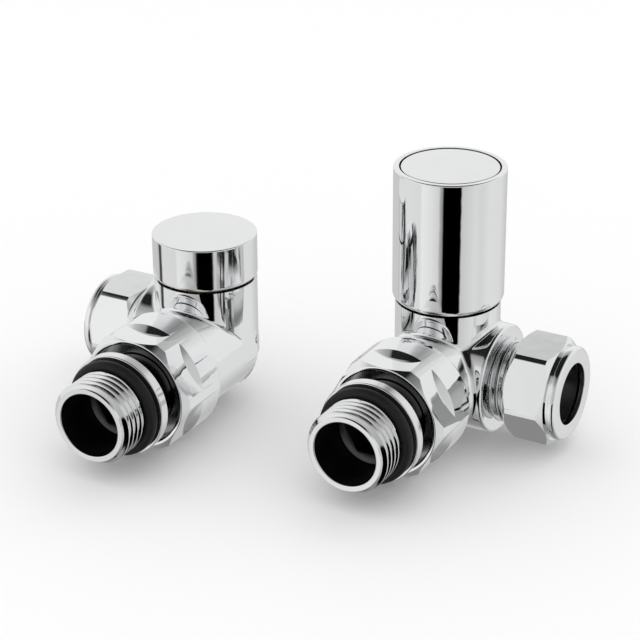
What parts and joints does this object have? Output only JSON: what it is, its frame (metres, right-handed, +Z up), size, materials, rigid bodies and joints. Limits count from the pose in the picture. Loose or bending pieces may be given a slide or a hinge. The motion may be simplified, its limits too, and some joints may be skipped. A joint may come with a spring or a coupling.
{
  "type": "radiator valve pair",
  "caption": "Matched pair of chrome corner radiator valves, one with a cylindrical wheelhead and one with a lockshield cap, with union tails and compression inlets.",
  "frame": {"origin": "centre of the wheelhead valve's radiator thread, in the plane where its O-ring meets the face of the radiator", "axes": "+Z up along both spindles; -Y forward into the radiator, along both tails; +X sideways along the wheelhead valve's pipe inlet, away from the lockshield valve"},
  "size_m": [0.1245, 0.0831, 0.0684],
  "materials": {
    "chrome": "bright chromium plate over polished brass",
    "tail_chrome": "chromium plate over turned and threaded brass",
    "disc_chrome": "bright chromium plate, slightly domed",
    "brass": "turned brass",
    "spindle_brass": "turned brass with a rolled thread",
    "olive_brass": "bright turned brass",
    "steel": "plain spring and screw steel",
    "white_plastic": "moulded acetal",
    "o_ring_rubber": "black nitrile rubber, slightly sheeny",
    "seal_rubber": "black sealing rubber"
  },
  "bodies": {
    "manual_tail": {"manual_radiator_tail": "tail_chrome", "manual_tail_o_ring": "o_ring_rubber", "manual_snap_ring": "steel", "manual_union_seal": "seal_rubber"},
    "manual_union_nut": {"manual_union_nut": "chrome"},
    "manual_valve": {"manual_body": "chrome", "manual_bonnet": "brass", "manual_bonnet_seal": "seal_rubber", "manual_gland_nut": "brass"},
    "manual_plug": {"manual_plug": "brass", "manual_seat_washer": "seal_rubber", "manual_washer_screw": "steel"},
    "manual_olive": {"manual_olive": "olive_brass"},
    "manual_compression_nut": {"manual_compression_nut": "chrome"},
    "lockshield_tail": {"lockshield_radiator_tail": "tail_chrome", "lockshield_tail_o_ring": "o_ring_rubber", "lockshield_snap_ring": "steel", "lockshield_union_seal": "seal_rubber"},
    "lockshield_union_nut": {"lockshield_union_nut": "chrome"},
    "lockshield_valve": {"lockshield_body": "chrome", "lockshield_bonnet": "brass", "lockshield_bonnet_seal": "seal_rubber", "lockshield_gland_nut": "brass"},
    "lockshield_plug": {"lockshield_plug": "brass", "lockshield_seat_washer": "seal_rubber", "lockshield_washer_screw": "steel"},
    "lockshield_olive": {"lockshield_olive": "olive_brass"},
    "lockshield_compression_nut": {"lockshield_compression_nut": "chrome"},
    "wheelhead": {"wheelhead_sleeve": "chrome", "wheelhead_insert": "white_plastic", "wheelhead_screw": "steel", "wheelhead_disc": "disc_chrome", "manual_spindle": "spindle_brass", "manual_spindle_seals": "seal_rubber"},
    "lockshield_spindle": {"lockshield_spindle": "spindle_brass", "lockshield_spindle_seals": "seal_rubber"},
    "lockshield_cap": {"lockshield_cap": "chrome", "lockshield_cap_grip_ring": "seal_rubber"}
  },
  "joints": [
    {"name": "lockshield_spacing", "type": "slide", "parent": "manual_tail", "child": "lockshield_tail", "axis": [-1, 0, 0], "range_m": [0, 0.1]},
    {"name": "manual_union_nut_turn", "type": "hinge", "parent": "manual_tail", "child": "manual_union_nut", "pos_m": [0, 0.0445, 0], "axis": [0, -1, 0], "range_deg": [0, 1800]},
    {"name": "manual_valve_withdraw", "type": "slide", "parent": "manual_tail", "child": "manual_valve", "axis": [0, 1, 0], "range_m": [0, 0.0075]},
    {"name": "wheelhead_turn", "type": "hinge", "parent": "manual_valve", "child": "wheelhead", "pos_m": [0, 0.0445, 0], "axis": [0, 0, 1], "range_deg": [0, 1080]},
    {"name": "manual_plug_lift", "type": "slide", "parent": "manual_valve", "child": "manual_plug", "axis": [0, 0, 1], "range_m": [0, 0.00375]},
    {"name": "manual_olive_slide", "type": "slide", "parent": "manual_valve", "child": "manual_olive", "axis": [1, 0, 0], "range_m": [0, 0.00726]},
    {"name": "manual_compression_nut_turn", "type": "hinge", "parent": "manual_olive", "child": "manual_compression_nut", "pos_m": [0.0198, 0.0445, 0], "axis": [1, 0, 0], "range_deg": [0, 1440]},
    {"name": "lockshield_union_nut_turn", "type": "hinge", "parent": "lockshield_tail", "child": "lockshield_union_nut", "pos_m": [-0.06, 0.0285, 0], "axis": [0, -1, 0], "range_deg": [0, 1800]},
    {"name": "lockshield_valve_withdraw", "type": "slide", "parent": "lockshield_tail", "child": "lockshield_valve", "axis": [0, 1, 0], "range_m": [0, 0.0075]},
    {"name": "lockshield_spindle_turn", "type": "hinge", "parent": "lockshield_valve", "child": "lockshield_spindle", "pos_m": [-0.06, 0.0285, 0], "axis": [0, 0, 1], "range_deg": [0, 1080]},
    {"name": "lockshield_plug_lift", "type": "slide", "parent": "lockshield_valve", "child": "lockshield_plug", "axis": [0, 0, 1], "range_m": [0, 0.00375]},
    {"name": "lockshield_olive_slide", "type": "slide", "parent": "lockshield_valve", "child": "lockshield_olive", "axis": [-1, 0, 0], "range_m": [0, 0.00726]},
    {"name": "lockshield_compression_nut_turn", "type": "hinge", "parent": "lockshield_olive", "child": "lockshield_compression_nut", "pos_m": [-0.0765, 0.0285, 0], "axis": [-1, 0, 0], "range_deg": [0, 1440]},
    {"name": "lockshield_cap_pull", "type": "slide", "parent": "lockshield_valve", "child": "lockshield_cap", "axis": [0, 0, 1], "range_m": [0, 0.02]}
  ],
  "couplings": [
    {"joint": "manual_union_nut_turn", "follows": "manual_valve_withdraw", "rad_per_m": 4188.8},
    {"joint": "wheelhead_turn", "follows": "manual_plug_lift", "rad_per_m": 5026.5},
    {"joint": "manual_compression_nut_turn", "follows": "manual_olive_slide", "rad_per_m": 3463.1},
    {"joint": "lockshield_union_nut_turn", "follows": "lockshield_valve_withdraw", "rad_per_m": 4188.8},
    {"joint": "lockshield_spindle_turn", "follows": "lockshield_plug_lift", "rad_per_m": 5026.5},
    {"joint": "lockshield_compression_nut_turn", "follows": "lockshield_olive_slide", "rad_per_m": 3463.1}
  ]
}
